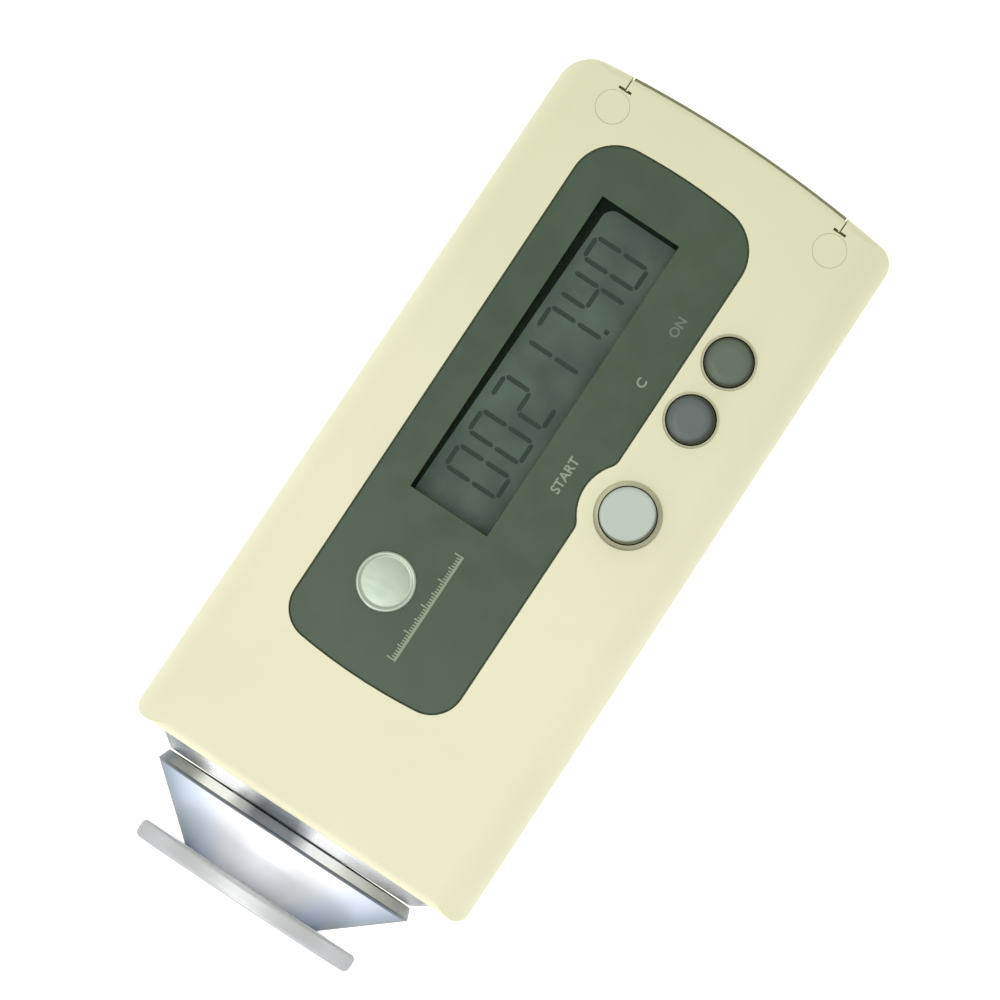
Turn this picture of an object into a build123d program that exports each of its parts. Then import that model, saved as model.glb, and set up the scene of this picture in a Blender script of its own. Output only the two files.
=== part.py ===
"""Hand-held electronic measuring wheel, built piece by piece, one STEP file per piece.

Millimetres. +X runs along the display's reading direction, away from the wheel. +Y runs towards the
top of the display and +Z out of the front face. The flat back lies on z = 0. The wheel turns about a
line along X at half the depth of the case.
"""

from build123d import *
import math
import os

# Case
CASE_LEFT = -44.2
CASE_RIGHT = 57.2
LEFT_HALF_WIDTH = 24.65
RIGHT_HALF_WIDTH = 23.95
CASE_DEPTH = 42.0
BOW_RADIUS = 165.0
LEFT_CORNER = 1.8
END_EDGE = 1.0
FAR_CORNER = 4.6
NEAR_CORNER = 2.9
LEAST_CORNER = 0.5
LONG_EDGE = 4.8
WALL = 2.2
FRONT_WALL = 2.4
INNER_EDGE = 2.6
PARTING_Z = 21.0
TONGUE_HEIGHT = 1.4
TONGUE_GAP = 0.1
TONGUE_INSET = 1.1
REVEAL = 0.25
FRONT_INSIDE_Z = CASE_DEPTH - FRONT_WALL
INSIDE_LEFT = CASE_LEFT + WALL
OVERSHOOT = 1.0  # how far a cutting shape runs past what it cuts
REACH = 70.0  # further from the origin than any piece

# Wheel unit, all of it round the X axis at AXIS_Z
AXIS_Z = 21.0
WHEEL_RADIUS = 15.915
WHEEL_OUTER_X = -57.2
WHEEL_INNER_X = -54.8
WHEEL_EDGE = 0.7
WHEEL_RECESS_RADIUS = 7.0
WHEEL_RECESS_DEPTH = 1.25
WHEEL_BORE_FIT = 0.02
CONE_SMALL_RADIUS = 9.9
CONE_LIP_RADIUS = 18.7
CONE_LIP_X = -47.45
CONE_BACK_X = -45.95
CONE_BACK_RADIUS = 18.1
HUB_INNER_RADIUS = 16.6
HUB_INNER_X = -47.0
HUB_FLOOR_X = -52.6
HUB_BOSS_RADIUS = 4.5
HUB_BOSS_X = -51.1
HUB_NOSE_RADIUS = 3.0
HUB_SPIGOT_X = -55.9
HUB_SCREW_FIT = 0.1
COLLAR_FRONT_X = -45.65
COLLAR_SMALL_RADIUS = 18.1
COLLAR_RADIUS = 20.2
NECK_RADIUS = 13.0
NECK_END_X = -38.6
HOUSING_RADIUS = 8.5
HOUSING_FRONT_X = -50.7
HOUSING_REAR_X = -29.5
HOUSING_BORE = 5.6
NUT_RADIUS = 16.5
NUT_LENGTH = 2.8
NUT_NOTCH = 3.0
NUT_NOTCH_DEPTH = 1.4

# Ball bearings 4 x 13 x 5
BEARING_BORE = 2.0
BEARING_RADIUS = 6.5
BEARING_WIDTH = 5.0
FRONT_BEARING_X = -47.9
REAR_BEARING_X = -32.2
BALL_RADIUS = 1.19
BALL_COUNT = 7
BALL_PITCH = 4.25
GROOVE_RADIUS = 1.24
INNER_RING_RADIUS = 3.3
OUTER_RING_BORE = 5.2
CAGE_INNER = 3.75
CAGE_OUTER = 4.75
CAGE_WIDTH = 3.6
CAGE_POCKET = 1.26
BORE_FIT = 0.01

# Spindle, encoder and the fixings of the wheel
SPINDLE_FRONT_X = -54.1
SPINDLE_REAR_X = -22.2
SHOULDER_RADIUS = 3.0
SHOULDER_END_X = -28.4
SCREW_BORE_END_X = -47.2
HUB_SCREW_RADIUS = 1.25
HUB_SCREW_HEAD = 2.5
HUB_SCREW_END_X = -48.7
HUB_SCREW_RECESS = 2.6
WASHER_RADIUS = 6.0
WASHER_CHAMFER = 0.3
WASHER_OUTER_X = -57.15
SPINDLE_CHAMFER = 0.3
SPACER_RADIUS = 3.2
ENCODER_X = -25.2
ENCODER_THICKNESS = 0.4
ENCODER_RADIUS = 8.0
ENCODER_SLOTS = 50
ENCODER_SLOT_WIDTH = 0.4
ENCODER_SLOT_LENGTH = 1.6
ENCODER_SLOT_PITCH = 6.7
ENCODER_HUB_RADIUS = 3.9
ENCODER_SEAT = 2.6
ENCODER_CLAMP_END_X = -23.6

# Display window
WINDOW_LEFT = -25.35
WINDOW_RIGHT = 49.33
WINDOW_TOP = 16.15
WINDOW_BOTTOM = -8.97
WINDOW_BOW = 75.0
WINDOW_LEFT_CORNER = 4.5
WINDOW_RIGHT_CORNER = 6.2
WINDOW_NOTCH = 6.4
WINDOW_NOTCH_FILLET = 2.0
WINDOW_RECESS = 1.2
WINDOW_THICKNESS = 1.05
WINDOW_GAP = 0.12
WINDOW_CHAMFER = 0.15
LCD_CENTRE = (20.07, 5.4)
LCD_VISIBLE = (43.5, 11.5)
LCD_GLASS = (48.3, 18.5)
LCD_BOTTOM_Z = 36.4
LCD_TOP_Z = 39.2
LCD_FRAME_WALL = 1.05
LCD_FRAME_GAP = 0.15
LCD_FRAME_TOP_GAP = 0.1
LCD_STEP = 2.4
ZEBRA_WIDTH = 1.8
ZEBRA_LENGTH = 47.0
ZEBRA_OFFSET = 8.25

# Keys
MAIN_KEY = (10.25, -13.6)
LEFT_KEY = (24.57, -13.55)
RIGHT_KEY = (33.2, -13.55)
MAIN_KEY_RADIUS = 3.6
SMALL_KEY_RADIUS = 3.1
KEY_GAP = 0.17
KEY_FLANGE = 1.0
KEY_FLANGE_TOP_Z = 39.4
KEY_FLANGE_HEIGHT = 0.8
MAIN_KEY_TOP_Z = 43.6
SMALL_KEY_TOP_Z = 43.0
MAIN_KEY_EDGE = 0.45
SMALL_KEY_EDGE = 1.3
KEY_STEM_RADIUS = 1.6
KEY_STEM_BOTTOM_Z = 37.5
MAIN_DISH_RADIUS = 4.4
MAIN_DISH_DEPTH = 0.8
SMALL_DISH_RADIUS = 3.6
SMALL_DISH_DEPTH = 0.4
SWITCH_SIZE = 6.0
SWITCH_TOP_Z = 36.4
SWITCH_WELL_Z = 34.0
PLUNGER_RADIUS = 1.75
PLUNGER_BOTTOM_Z = 35.2
PLUNGER_GAP = 0.08

# Main board and what is on it
BOARD_LEFT = -31.0
BOARD_RIGHT = 49.0
BOARD_HALF_WIDTH = 20.6
BOARD_BOTTOM_Z = 31.4
BOARD_TOP_Z = 33.0
BOARD_CORNER = 1.5
BOARD_HOLE_FIT = 0.1
BOARD_POSTS = [(-27.5, 18.2), (-27.5, -18.2), (46.2, 18.6), (46.2, -18.6)]
BOARD_POST_RADIUS = 2.5
BOARD_SCREW_RADIUS = 1.0
BOARD_SCREW_HEAD = 1.9
BOARD_SCREW_HEAD_HEIGHT = 1.3
BOARD_SCREW_END_Z = 37.5
SCREW_FIT = 0.03
SCREW_END_ROOM = 0.5
CHIP_CHAMFER = 0.3
CHIP_CENTRE = (13.0, 4.0)
CHIP_SIZE = (12.0, 12.0, 1.8)
CRYSTAL_CENTRE = (29.0, 6.0)
CRYSTAL_SIZE = (11.0, 4.6, 3.4)
CRYSTAL_END_RADIUS = 2.25
REGULATOR_CENTRE = (-13.0, 8.0)
REGULATOR_SIZE = (6.5, 4.0, 1.7)
CAPACITORS = [(-12.0, -6.0), (-12.0, -14.5)]
CAPACITOR_RADIUS = 3.15
CAPACITOR_HEIGHT = 7.0
CAPACITOR_EDGE = 0.4
INTERRUPTER_LENGTH = 6.8
INTERRUPTER_WIDTH = 5.2
INTERRUPTER_BOTTOM_Z = 25.2
INTERRUPTER_SLOT = 2.4
INTERRUPTER_SLOT_Z = 29.6

# Case fixings
FRONT_POSTS = [(51.8, 16.3), (51.8, -16.3)]
FRONT_POST_RADIUS = 2.5
FRONT_POST_BOTTOM_Z = 26.0
FRONT_SCREW_SEAT_Z = 28.0
FRONT_SCREW_END_Z = 17.0
FRONT_SCREW_HEAD_TOP_Z = 29.6
FRONT_SCREW_HEAD = 1.6
FRONT_BORE = 1.7
PLUG_RADIUS = 2.2
PLUG_THICKNESS = 1.2
PLUG_STEM = 4.0
PLUG_FIT = 0.03
PLUG_TOP_Z = CASE_DEPTH - 0.05
REAR_POSTS = [(-35.2, 19.2), (-35.2, -19.2)]
REAR_POST_RADIUS = 3.0
REAR_BORE = 2.1
REAR_SCREW_SEAT_Z = 14.0
REAR_SCREW_HEAD = 2.0
REAR_SCREW_HEAD_BOTTOM_Z = 12.2
REAR_SCREW_END_Z = 30.0
CASE_SCREW_RADIUS = 1.0
CROSS_RECESS_WIDTH = 0.4
CROSS_RECESS_DEPTH = 0.6
CROSS_RECESS_SHARE = 1.2  # length of a recess arm over the radius of the screw's head
SADDLE_X = (-34.0, -32.0)
SADDLE_HALF_WIDTH = 13.0

# Battery door, hinged at the back edge of the bowed end
DOOR_HALF_WIDTH = 15.85
DOOR_GAP = 0.25
DOOR_THICKNESS = 1.8
DOOR_TOP_Z = 40.25
HINGE_X = 54.2
HINGE_Z = 2.6
HINGE_RADIUS = 2.4
HINGE_HALF_WIDTH = 12.8
HINGE_PIN_RADIUS = 0.8
HINGE_PIN_HALF_LENGTH = 15.4
HINGE_PIN_PRESS = 0.01
HINGE_PIN_FIT = 0.05
HINGE_CLEARANCE = 0.3
DOOR_FOOT_GAP = 0.4
LUG_INNER_Y = 13.05
LUG_OUTER_Y = 15.9
LUG_LENGTH = 5.0
LIP_INSET = 0.4
CATCH_X = 54.4
CATCH_SIZE = (0.35, 1.8)
SLIT_WIDTH = 0.16
DOOR_RIB_Y = 8.0
DOOR_RIB_WIDTH = 1.4
DOOR_RIB_Z = (7.0, 19.0)
DOOR_RIB_GAP = 0.3
DOOR_RIB_ROOT = 0.6

# Nine-volt block battery, 48.5 x 26.5 x 17.5, and its contacts
BATTERY_RIGHT = 51.4
BATTERY_LENGTH = 46.4
BATTERY_HALF_WIDTH = 13.25
BATTERY_BOTTOM_Z = 3.8
BATTERY_HEIGHT = 17.5
BATTERY_EDGE = 2.0
BAY_RIB_X = (8.0, 45.0)
BAY_RIB_GAP = 0.3
BAY_RIB_WIDTH = 1.2
BAY_RIB_TOP_Z = 14.0
BAY_BARS_X = (12.0, 40.0)
BAY_BAR_WIDTH = 1.5
TERMINAL_HEIGHT = 2.1
TERMINAL_HALF_PITCH = 6.35
STUD_RADIUS = 2.85
SOCKET_RADIUS = 4.2
SOCKET_BORE = 3.15
CONTACT_BOARD_X = 0.6
CONTACT_BOARD_THICKNESS = 1.6
CONTACT_BOARD_HALF_WIDTH = 12.0
CONTACT_BOARD_BOTTOM_Z = 5.0
CONTACT_BOARD_TOP_Z = 31.3
CONTACT_GAP = 0.2
CONTACT_FIT = 0.1
CONTACT_STOP_GAP = 0.1
CONTACT_STOP_THICKNESS = 1.8
CONTACT_STOP_HALF_WIDTH = 10.0
CONTACT_STOP_TOP_Z = 18.0
PIN_WIDTH = 0.64
PIN_HOLE = 0.8
PIN_HOLE_DEPTH = 2.0
PIN_PITCH = 2.54
PIN_COUNT = 4
PIN_BOTTOM_Z = 27.0
PIN_TOP_Z = 32.9


def span_box(x, y, z):
    """Box between the two x, the two y and the two z values."""
    size = [high - low for low, high in (x, y, z)]
    middle = [(low + high) / 2 for low, high in (x, y, z)]
    return Pos(*middle) * Box(*size)


def upright(centre, radius, low, high):
    """Cylinder along Z at a plan position, between two heights."""
    return Pos(centre[0], centre[1], (low + high) / 2) * Cylinder(radius, high - low)


def axle(radius, low, high):
    """Cylinder along X on the wheel's axis, between two x values."""
    return Pos((low + high) / 2, 0, AXIS_Z) * Rot(0, 90, 0) * Cylinder(radius, high - low)


def turned(points):
    """Solid turned about the wheel's axis from (x, radius) points."""
    outline = Polyline([(x, 0, AXIS_Z + radius) for x, radius in points], close=True)
    return revolve(make_face(outline), Axis((0, 0, AXIS_Z), (1, 0, 0)), 360)


def half_width_at(x, inset):
    """Half the case's width at x. The case narrows a little away from the wheel."""
    share = (x - CASE_LEFT) / (CASE_RIGHT - CASE_LEFT)
    return LEFT_HALF_WIDTH + share * (RIGHT_HALF_WIDTH - LEFT_HALF_WIDTH) - inset


def plan_outline(inset):
    """Plan outline of the case moved inwards by inset, square at the wheel end and bowed at the other."""
    left = CASE_LEFT + inset
    bow = BOW_RADIUS - inset
    bow_centre = CASE_RIGHT - BOW_RADIUS
    left_half = half_width_at(left, inset)
    right_half = half_width_at(CASE_RIGHT, inset)
    right = bow_centre + math.sqrt(bow**2 - right_half**2)
    face = make_face(
        [
            Line((right, right_half), (left, left_half)),
            Line((left, left_half), (left, -left_half)),
            Line((left, -left_half), (right, -right_half)),
            ThreePointArc((right, -right_half), (bow_centre + bow, 0), (right, right_half)),
        ]
    )
    left_corners = face.vertices().sort_by(Axis.X)[:2]
    face = fillet(left_corners, max(LEFT_CORNER - inset, LEAST_CORNER))
    far_corner = face.vertices().sort_by(Axis.X)[-2:].sort_by(Axis.Y)[-1]
    face = fillet(far_corner, max(FAR_CORNER - inset, LEAST_CORNER))
    near_corner = face.vertices().filter_by(lambda v: v.Y < 0).sort_by(Axis.X)[-1]
    return fillet(near_corner, max(NEAR_CORNER - inset, LEAST_CORNER))


def case_column(inset, low, high):
    """Upright column with the case's plan outline moved inwards by inset, between two heights."""
    return extrude(Pos(0, 0, low) * plan_outline(inset), high - low)


def case_skin(thickness, low, high):
    """Ring round the outside of the case, of one thickness, between two heights."""
    return case_column(-OVERSHOOT, low, high) - case_column(thickness, low, high)


def case_bar(inset, low, high, edge):
    """Long bar with rounded long edges, as wide as the case less inset, between two heights."""
    ends = []
    for x in (CASE_LEFT - WALL, CASE_RIGHT + WALL):
        plane = Plane(origin=(x, 0, (low + high) / 2), x_dir=(0, 1, 0), z_dir=(1, 0, 0))
        ends.append(plane * RectangleRounded(2 * half_width_at(x, inset), high - low, edge))
    return loft(ends, ruled=True)


def rounded_ends():
    """Slab that rounds the case's short edges, front and back, at both ends."""
    bow_centre = CASE_RIGHT - BOW_RADIUS
    disc = Pos(bow_centre, 0, CASE_DEPTH / 2) * Cylinder(BOW_RADIUS, CASE_DEPTH)
    disc = fillet(disc.edges().filter_by(GeomType.CIRCLE), END_EDGE)
    slab = span_box((CASE_LEFT, REACH), (-REACH, REACH), (0, CASE_DEPTH))
    return disc & fillet(slab.faces().sort_by(Axis.X)[0].edges().filter_by(Axis.Y), END_EDGE)


def case_block():
    """Outside shape of the closed case."""
    return case_column(0, 0, CASE_DEPTH) & case_bar(0, 0, CASE_DEPTH, LONG_EDGE) & rounded_ends()


def case_cavity():
    """Space inside the closed case."""
    return case_column(WALL, WALL, FRONT_INSIDE_Z) & case_bar(WALL, WALL, FRONT_INSIDE_Z, INNER_EDGE)


def wheel_end_hole():
    """Round hole of the end wall that the collar's neck passes through."""
    return axle(NECK_RADIUS + SCREW_FIT, CASE_LEFT - WALL, INSIDE_LEFT + WALL)


def door_opening():
    """Opening of the bowed end that the battery door closes."""
    half = DOOR_HALF_WIDTH + DOOR_GAP
    top = DOOR_TOP_Z + DOOR_GAP
    return span_box((HINGE_X + DOOR_GAP, REACH), (-half, half), (-WALL, top))


def hinge_room():
    """Room that the door's hinge barrel turns in."""
    half = HINGE_HALF_WIDTH + DOOR_GAP
    left = HINGE_X - HINGE_RADIUS - HINGE_CLEARANCE
    top = HINGE_Z + HINGE_RADIUS + OVERSHOOT
    return span_box((left, REACH), (-half, half), (-WALL, top))


def window_outline(inset):
    """Outline of the display window moved inwards by inset, with the notch above the main key."""
    left = WINDOW_LEFT + inset
    right = WINDOW_RIGHT - inset
    top = WINDOW_TOP - inset
    bottom = WINDOW_BOTTOM + inset
    bow = WINDOW_BOW - inset
    middle = (top + bottom) / 2
    sagitta = bow - math.sqrt(bow**2 - ((top - bottom) / 2) ** 2)
    notch = WINDOW_NOTCH + inset
    half_notch = math.sqrt(notch**2 - (bottom - MAIN_KEY[1]) ** 2)
    notch_left = (MAIN_KEY[0] - half_notch, bottom)
    notch_right = (MAIN_KEY[0] + half_notch, bottom)
    face = make_face(
        [
            Line((right - sagitta, top), (left + sagitta, top)),
            ThreePointArc((left + sagitta, top), (left, middle), (left + sagitta, bottom)),
            Line((left + sagitta, bottom), notch_left),
            ThreePointArc(notch_left, (MAIN_KEY[0], MAIN_KEY[1] + notch), notch_right),
            Line(notch_right, (right - sagitta, bottom)),
            ThreePointArc((right - sagitta, bottom), (right, middle), (right - sagitta, top)),
        ]
    )
    face = fillet(face.vertices().sort_by(Axis.X)[:2], WINDOW_LEFT_CORNER - inset)
    face = fillet(face.vertices().sort_by(Axis.X)[-2:], WINDOW_RIGHT_CORNER - inset)
    low = [v for v in face.vertices() if abs(v.Y - bottom) < 1e-6 and abs(v.X - MAIN_KEY[0]) < notch]
    return fillet(low, WINDOW_NOTCH_FILLET - inset)


def lcd_box(size, low, high):
    """Box centred on the display, between two heights."""
    return Pos(LCD_CENTRE[0], LCD_CENTRE[1], (low + high) / 2) * Box(size[0], size[1], high - low)


def front_cover():
    """Front half of the case, with the window's recess, key holes and the posts behind the face."""
    inside = case_cavity()
    shell = case_block() - inside
    shell = shell & span_box((-REACH, REACH), (-REACH, REACH), (PARTING_Z, CASE_DEPTH))
    shell -= case_column(TONGUE_INSET, PARTING_Z, PARTING_Z + TONGUE_HEIGHT + TONGUE_GAP)
    shell -= case_skin(REVEAL, PARTING_Z, PARTING_Z + REVEAL)
    posts = [upright(at, BOARD_POST_RADIUS, BOARD_TOP_Z, FRONT_INSIDE_Z) for at in BOARD_POSTS]
    posts += [upright(at, FRONT_POST_RADIUS, FRONT_POST_BOTTOM_Z, FRONT_INSIDE_Z) for at in FRONT_POSTS]
    posts += [upright(at, REAR_POST_RADIUS, PARTING_Z, FRONT_INSIDE_Z) & inside for at in REAR_POSTS]
    for post in posts:
        shell += post
    for at in BOARD_POSTS:
        shell -= upright(at, BOARD_SCREW_RADIUS + SCREW_FIT, BOARD_TOP_Z, BOARD_SCREW_END_Z + SCREW_END_ROOM)
    for at in FRONT_POSTS:
        shell -= upright(at, PLUG_RADIUS, CASE_DEPTH - PLUG_THICKNESS, CASE_DEPTH)
        shell -= upright(at, FRONT_BORE, FRONT_SCREW_SEAT_Z, CASE_DEPTH)
        shell -= upright(at, CASE_SCREW_RADIUS + PLUG_FIT, FRONT_POST_BOTTOM_Z, FRONT_SCREW_SEAT_Z)
    for at in REAR_POSTS:
        shell -= upright(at, CASE_SCREW_RADIUS + SCREW_FIT, PARTING_Z, REAR_SCREW_END_Z + SCREW_END_ROOM)
    shell -= extrude(Pos(0, 0, CASE_DEPTH - WINDOW_RECESS) * window_outline(0), WINDOW_RECESS)
    shell -= lcd_box(LCD_VISIBLE, FRONT_INSIDE_Z, CASE_DEPTH)
    keys = [
        (MAIN_KEY, MAIN_KEY_RADIUS, MAIN_DISH_RADIUS, MAIN_DISH_DEPTH),
        (LEFT_KEY, SMALL_KEY_RADIUS, SMALL_DISH_RADIUS, SMALL_DISH_DEPTH),
        (RIGHT_KEY, SMALL_KEY_RADIUS, SMALL_DISH_RADIUS, SMALL_DISH_DEPTH),
    ]
    for centre, radius, dish, depth in keys:
        shell -= upright(centre, radius + KEY_GAP, FRONT_INSIDE_Z, CASE_DEPTH)
        shell -= upright(centre, dish, CASE_DEPTH - depth, CASE_DEPTH)
    shell -= wheel_end_hole()
    shell -= door_opening()
    shell -= latch_cuts()
    return shell


def latch_cuts():
    """Catch slots and slits that free the lip of the front face that the door snaps behind."""
    half = DOOR_HALF_WIDTH + DOOR_GAP
    low = DOOR_TOP_Z
    lip = span_box((CATCH_X, REACH), (-half, half), (low, CASE_DEPTH))
    cuts = case_skin(LIP_INSET, low, CASE_DEPTH) & lip
    for side in (-1, 1):
        slot = Pos(CATCH_X, side * half, (low + CASE_DEPTH) / 2)
        cuts += slot * Box(CATCH_SIZE[0], CATCH_SIZE[1], CASE_DEPTH - low)
        slit_y = (side * half - SLIT_WIDTH / 2, side * half + SLIT_WIDTH / 2)
        cuts += span_box((CATCH_X, REACH), slit_y, (low, CASE_DEPTH))
    return cuts


def on_side(side, near, far):
    """The two y values near and far from the middle, in rising order, on one side of the case."""
    return sorted((side * near, side * far))


def hinge_lugs():
    """Two lugs of the rear cover that hold the ends of the door's hinge pin."""
    lugs = []
    for side in (-1, 1):
        lug_y = on_side(side, LUG_INNER_Y, LUG_OUTER_Y)
        foot = span_box((HINGE_X - LUG_LENGTH, HINGE_X), lug_y, (0, HINGE_Z + HINGE_RADIUS))
        lugs.append(foot + along_y(HINGE_X, HINGE_Z, HINGE_RADIUS, lug_y))
    return lugs


def battery_bay_walls():
    """Ribs, bars and stop inside the rear cover that place the battery and its contact board."""
    walls = []
    for side in (-1, 1):
        near = BATTERY_HALF_WIDTH + BAY_RIB_GAP
        walls.append(span_box(BAY_RIB_X, on_side(side, near, near + BAY_RIB_WIDTH), (WALL, BAY_RIB_TOP_Z)))
    bar_y = (-BATTERY_HALF_WIDTH, BATTERY_HALF_WIDTH)
    for x in BAY_BARS_X:
        walls.append(span_box((x, x + BAY_BAR_WIDTH), bar_y, (WALL, BATTERY_BOTTOM_Z)))
    stop_right = CONTACT_BOARD_X - CONTACT_STOP_GAP
    stop_x = (stop_right - CONTACT_STOP_THICKNESS, stop_right)
    stop_y = (-CONTACT_STOP_HALF_WIDTH, CONTACT_STOP_HALF_WIDTH)
    walls.append(span_box(stop_x, stop_y, (WALL, CONTACT_STOP_TOP_Z)))
    return walls


def housing_saddle():
    """Cross wall of the rear cover that the bearing housing rests in."""
    wall = span_box(SADDLE_X, (-SADDLE_HALF_WIDTH, SADDLE_HALF_WIDTH), (WALL, AXIS_Z))
    return wall - axle(HOUSING_RADIUS + SCREW_FIT, SADDLE_X[0] - OVERSHOOT, SADDLE_X[1] + OVERSHOOT)


def rear_cover():
    """Back half of the case, with the tongue, screw bosses, battery bay and hinge lugs."""
    inside = case_cavity()
    block = case_block()
    shell = (block - inside) & span_box((-REACH, REACH), (-REACH, REACH), (0, PARTING_Z))
    tongue_low = PARTING_Z - OVERSHOOT
    tongue_top = PARTING_Z + TONGUE_HEIGHT
    tongue = case_column(TONGUE_INSET + TONGUE_GAP, tongue_low, tongue_top)
    shell += tongue - case_column(WALL, tongue_low, tongue_top)
    upper_space = case_column(WALL + TONGUE_GAP, WALL, FRONT_POST_BOTTOM_Z)
    for at in FRONT_POSTS:
        shell += upright(at, FRONT_POST_RADIUS, WALL, PARTING_Z)
        shell += upright(at, FRONT_POST_RADIUS, WALL, FRONT_POST_BOTTOM_Z) & upper_space
    for at in REAR_POSTS:
        shell += upright(at, REAR_POST_RADIUS, WALL, PARTING_Z) & inside
    for wall in battery_bay_walls():
        shell += wall
    shell += housing_saddle()
    front_bore_end = FRONT_SCREW_END_Z - SCREW_END_ROOM
    for at in FRONT_POSTS:
        shell -= upright(at, CASE_SCREW_RADIUS + SCREW_FIT, front_bore_end, FRONT_POST_BOTTOM_Z)
    for at in REAR_POSTS:
        shell -= upright(at, REAR_BORE, 0, REAR_SCREW_SEAT_Z)
        shell -= upright(at, CASE_SCREW_RADIUS + PLUG_FIT, REAR_SCREW_SEAT_Z, PARTING_Z)
    shell -= door_opening()
    shell -= hinge_room()
    for lug in hinge_lugs():
        shell += lug & block
    shell -= wheel_end_hole()
    pin_y = (-HINGE_PIN_HALF_LENGTH, HINGE_PIN_HALF_LENGTH)
    return shell - along_y(HINGE_X, HINGE_Z, HINGE_PIN_RADIUS + HINGE_PIN_PRESS, pin_y)


def along_y(x, z, radius, y):
    """Cylinder along Y between two y values."""
    low, high = y
    return Pos(x, (low + high) / 2, z) * Rot(90, 0, 0) * Cylinder(radius, high - low)


def battery_door():
    """Door of the bowed end, with its hinge barrel and the ribs that press on the battery."""
    panel = case_block() - case_column(DOOR_THICKNESS, 0, CASE_DEPTH)
    foot_z = HINGE_Z + HINGE_RADIUS + DOOR_FOOT_GAP
    door_y = (-DOOR_HALF_WIDTH, DOOR_HALF_WIDTH)
    barrel_y = (-HINGE_HALF_WIDTH, HINGE_HALF_WIDTH)
    upper = span_box((HINGE_X, REACH), door_y, (foot_z, DOOR_TOP_Z))
    lower = span_box((HINGE_X, REACH), barrel_y, (HINGE_Z, foot_z + OVERSHOOT))
    door = (panel & (upper + lower)) + along_y(HINGE_X, HINGE_Z, HINGE_RADIUS, barrel_y)
    rib_x = (BATTERY_RIGHT + DOOR_RIB_GAP, CASE_RIGHT - DOOR_THICKNESS + DOOR_RIB_ROOT)
    for side in (-1, 1):
        rib_y = on_side(side, DOOR_RIB_Y - DOOR_RIB_WIDTH / 2, DOOR_RIB_Y + DOOR_RIB_WIDTH / 2)
        door += span_box(rib_x, rib_y, DOOR_RIB_Z)
    return door - along_y(HINGE_X, HINGE_Z, HINGE_PIN_RADIUS + HINGE_PIN_FIT, (-REACH, REACH))


def door_hinge_pin():
    """Steel pin of the battery door."""
    return along_y(HINGE_X, HINGE_Z, HINGE_PIN_RADIUS, (-HINGE_PIN_HALF_LENGTH, HINGE_PIN_HALF_LENGTH))


def display_window():
    """Clear window, set just below the face."""
    low = CASE_DEPTH - WINDOW_RECESS
    window = extrude(Pos(0, 0, low) * window_outline(WINDOW_GAP), WINDOW_THICKNESS)
    return chamfer(window.faces().sort_by(Axis.Z)[-1].edges(), WINDOW_CHAMFER)


def key(centre, radius, top, edge):
    """Push key with a rounded cap, a retaining flange behind the face and a stem down to its switch."""
    flange_low = KEY_FLANGE_TOP_Z - KEY_FLANGE_HEIGHT
    cap = upright(centre, radius, flange_low, top)
    cap = fillet(cap.faces().sort_by(Axis.Z)[-1].edges(), edge)
    cap += upright(centre, radius + KEY_FLANGE, flange_low, KEY_FLANGE_TOP_Z)
    return cap + upright(centre, KEY_STEM_RADIUS, KEY_STEM_BOTTOM_Z, flange_low)


def switch_bodies():
    """Bodies of the three tactile switches, each with a well for its plunger."""
    bodies = []
    for centre in (MAIN_KEY, LEFT_KEY, RIGHT_KEY):
        middle = (BOARD_TOP_Z + SWITCH_TOP_Z) / 2
        body = Pos(centre[0], centre[1], middle) * Box(SWITCH_SIZE, SWITCH_SIZE, SWITCH_TOP_Z - BOARD_TOP_Z)
        bodies.append(body - upright(centre, PLUNGER_RADIUS + PLUNGER_GAP, SWITCH_WELL_Z, SWITCH_TOP_Z))
    return bodies


def plunger(centre):
    """Plunger of one tactile switch."""
    return upright(centre, PLUNGER_RADIUS, PLUNGER_BOTTOM_Z, KEY_STEM_BOTTOM_Z)


def screw(centre, radius, seat, end, head_radius, head_height):
    """Screw along Z with a flat-topped head and a cross recess. It points from seat towards end."""
    towards = 1 if end > seat else -1
    head_top = seat - towards * head_height
    body = upright(centre, radius, min(seat, end), max(seat, end))
    body += upright(centre, head_radius, min(seat, head_top), max(seat, head_top))
    recess_end = head_top + towards * CROSS_RECESS_DEPTH
    middle = (head_top + recess_end) / 2
    for turn in (0, 90):
        arm = Pos(centre[0], centre[1], middle) * Rot(0, 0, turn)
        body -= arm * Box(head_radius * CROSS_RECESS_SHARE, CROSS_RECESS_WIDTH, CROSS_RECESS_DEPTH)
    return body


def front_screws():
    """Two screws under the plugs of the front face."""
    head = FRONT_SCREW_HEAD_TOP_Z - FRONT_SCREW_SEAT_Z
    return [
        screw(at, CASE_SCREW_RADIUS, FRONT_SCREW_SEAT_Z, FRONT_SCREW_END_Z, FRONT_SCREW_HEAD, head)
        for at in FRONT_POSTS
    ]


def rear_screws():
    """Two screws that go in from the back, near the wheel."""
    head = REAR_SCREW_SEAT_Z - REAR_SCREW_HEAD_BOTTOM_Z
    return [
        screw(at, CASE_SCREW_RADIUS, REAR_SCREW_SEAT_Z, REAR_SCREW_END_Z, REAR_SCREW_HEAD, head)
        for at in REAR_POSTS
    ]


def board_screws():
    """Four screws that hold the main board against the front cover's posts."""
    return [
        screw(
            at,
            BOARD_SCREW_RADIUS,
            BOARD_BOTTOM_Z,
            BOARD_SCREW_END_Z,
            BOARD_SCREW_HEAD,
            BOARD_SCREW_HEAD_HEIGHT,
        )
        for at in BOARD_POSTS
    ]


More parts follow.
